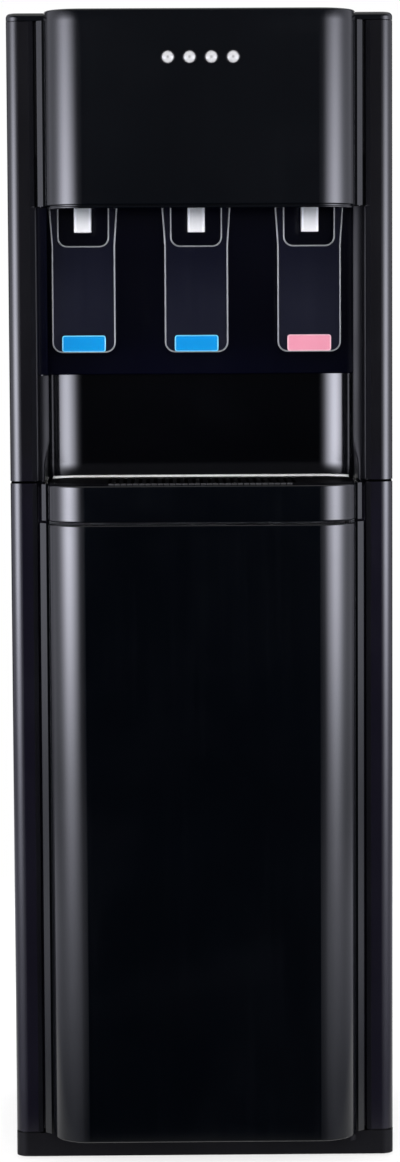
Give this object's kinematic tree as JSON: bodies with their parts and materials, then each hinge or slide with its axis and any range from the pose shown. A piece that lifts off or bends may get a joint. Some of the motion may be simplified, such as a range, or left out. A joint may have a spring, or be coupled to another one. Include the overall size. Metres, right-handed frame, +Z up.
{
  "type": "bottom load water cooler",
  "caption": "Tall floor-standing black water cooler with a curved gloss front, push paddle taps over a drip tray in an open alcove, and a bottle bay behind a hinged door.",
  "frame": {"origin": "on the floor, under the middle of the box that holds the whole machine", "axes": "+Z up, front faces -Y, +X to the right as seen from the front"},
  "size_m": [0.35, 0.3708, 1.052],
  "materials": {
    "cabinet_black": "satin black paint",
    "gloss_black": "high gloss black",
    "alcove_black": "soft gloss black",
    "plinth_black": "fine grain",
    "foot_rubber": "matte",
    "rear_sheet": "textured dark paint",
    "zinc_sheet": "plain zinc plate",
    "lamp_lens": "frosted clear",
    "board_green": "solder mask",
    "bright_trim": "polished",
    "tray_black": "fine grain",
    "bright_steel": "machined",
    "magnet_black": "matte",
    "tank_steel": "brushed",
    "foam_white": "moulded foam",
    "foam_grey": "moulded foam",
    "sink_aluminium": "extruded",
    "peltier_ceramic": "ground",
    "fan_black": "moulded",
    "pump_grey": "moulded",
    "probe_white": "moulded",
    "silicone": "translucent",
    "tap_black": "gloss",
    "nozzle_silver": "satin plated",
    "paddle_black": "gloss, blue black",
    "tag_blue": "gloss",
    "tag_pink": "gloss",
    "switch_red": "gloss",
    "switch_blue": "gloss"
  },
  "bodies": {
    "cabinet": {"alcove_liner": "alcove_black", "base_plinth": "plinth_black", "bottle_probe": "probe_white", "cold_block": "sink_aluminium", "cold_tank": "tank_steel", "cold_tank_jacket": "foam_white", "cord_inlet": "fan_black", "door_hinge_pins": "bright_steel", "drain_outlet": "probe_white", "drip_trim": "bright_trim", "fan_frame": "fan_black", "fascia": "gloss_black", "heat_sink": "sink_aluminium", "hot_tank": "tank_steel", "hot_tank_jacket": "foam_grey", "led_board": "board_green", "led_lenses": "lamp_lens", "levelling_feet": "foot_rubber", "lower_rear_panel": "rear_sheet", "lower_side_left": "cabinet_black", "lower_side_right": "cabinet_black", "mid_deck": "zinc_sheet", "mid_panel": "gloss_black", "panel_screws": "bright_steel", "peltier_module": "peltier_ceramic", "power_board": "board_green", "probe_hose": "silicone", "switch_bezel": "fan_black", "tank_shelf": "zinc_sheet", "tap_body_left": "tap_black", "tap_body_middle": "tap_black", "tap_body_right": "tap_black", "tap_nozzle_left": "nozzle_silver", "tap_nozzle_middle": "nozzle_silver", "tap_nozzle_right": "nozzle_silver", "tap_panel": "gloss_black", "top_cover": "gloss_black", "upper_rear_panel": "rear_sheet", "upper_side_left": "cabinet_black", "upper_side_right": "cabinet_black", "water_pump": "pump_grey", "water_tubes": "silicone"},
    "door": {"door_shell": "gloss_black", "door_liner": "rear_sheet", "door_magnet": "magnet_black"},
    "tray": {"drip_tray": "tray_black"},
    "grille": {"drip_grille": "tray_black"},
    "fan": {"fan_rotor": "fan_black"},
    "heating_rocker": {"heating_switch": "switch_red"},
    "cooling_rocker": {"cooling_switch": "switch_blue"},
    "cap": {"drain_cap": "pump_grey"},
    "paddle_left_body": {"paddle_left": "paddle_black", "paddle_tag_left": "tag_blue"},
    "plunger_left_body": {"tap_plunger_left": "silicone"},
    "paddle_middle_body": {"paddle_middle": "paddle_black", "paddle_tag_middle": "tag_blue"},
    "plunger_middle_body": {"tap_plunger_middle": "silicone"},
    "paddle_right_body": {"paddle_right": "paddle_black", "paddle_tag_right": "tag_pink"},
    "plunger_right_body": {"tap_plunger_right": "silicone"}
  },
  "joints": [
    {"name": "door_hinge", "type": "hinge", "parent": "cabinet", "child": "door", "pos_m": [0.133, -0.1519, 0.3], "axis": [0, 0, 1], "range_deg": [0, 100]},
    {"name": "paddle_left_push", "type": "hinge", "parent": "cabinet", "child": "paddle_left_body", "pos_m": [-0.1067, -0.1159, 0.9], "axis": [1, 0, 0], "range_deg": [0, 9], "stiffness_Nm_per_rad": 0.4, "springref_deg": -2.86},
    {"name": "plunger_left_lift", "type": "slide", "parent": "cabinet", "child": "plunger_left_body", "axis": [0, 1, 0], "range_m": [0, 0.0026]},
    {"name": "paddle_middle_push", "type": "hinge", "parent": "cabinet", "child": "paddle_middle_body", "pos_m": [-0.0037, -0.1159, 0.9], "axis": [1, 0, 0], "range_deg": [0, 9], "stiffness_Nm_per_rad": 0.4, "springref_deg": -2.86},
    {"name": "plunger_middle_lift", "type": "slide", "parent": "cabinet", "child": "plunger_middle_body", "axis": [0, 1, 0], "range_m": [0, 0.0026]},
    {"name": "paddle_right_push", "type": "hinge", "parent": "cabinet", "child": "paddle_right_body", "pos_m": [0.0993, -0.1159, 0.9], "axis": [1, 0, 0], "range_deg": [0, 9], "stiffness_Nm_per_rad": 0.4, "springref_deg": -2.86},
    {"name": "plunger_right_lift", "type": "slide", "parent": "cabinet", "child": "plunger_right_body", "axis": [0, 1, 0], "range_m": [0, 0.0026]},
    {"name": "tray_lift", "type": "slide", "parent": "cabinet", "child": "tray", "axis": [0, 0, 1], "range_m": [0, 0.06]},
    {"name": "grille_lift", "type": "slide", "parent": "tray", "child": "grille", "axis": [0, 0, 1], "range_m": [0, 0.03]},
    {"name": "fan_spin", "type": "hinge", "parent": "cabinet", "child": "fan", "pos_m": [-0.039, 0.15, 0.95], "axis": [0, 1, 0], "continuous": true},
    {"name": "heating_switch_rock", "type": "hinge", "parent": "cabinet", "child": "heating_rocker", "pos_m": [-0.1166, 0.16635, 0.7], "axis": [1, 0, 0], "range_deg": [0, 14]},
    {"name": "cooling_switch_rock", "type": "hinge", "parent": "cabinet", "child": "cooling_rocker", "pos_m": [-0.0934, 0.16635, 0.7], "axis": [1, 0, 0], "range_deg": [0, 14]},
    {"name": "drain_cap_pull", "type": "slide", "parent": "cabinet", "child": "cap", "axis": [0, 1, 0], "range_m": [0, 0.02]}
  ],
  "couplings": [
    {"joint": "plunger_left_lift", "follows": "paddle_left_push", "m_per_rad": 0.0159},
    {"joint": "plunger_middle_lift", "follows": "paddle_middle_push", "m_per_rad": 0.0159},
    {"joint": "plunger_right_lift", "follows": "paddle_right_push", "m_per_rad": 0.0159}
  ]
}
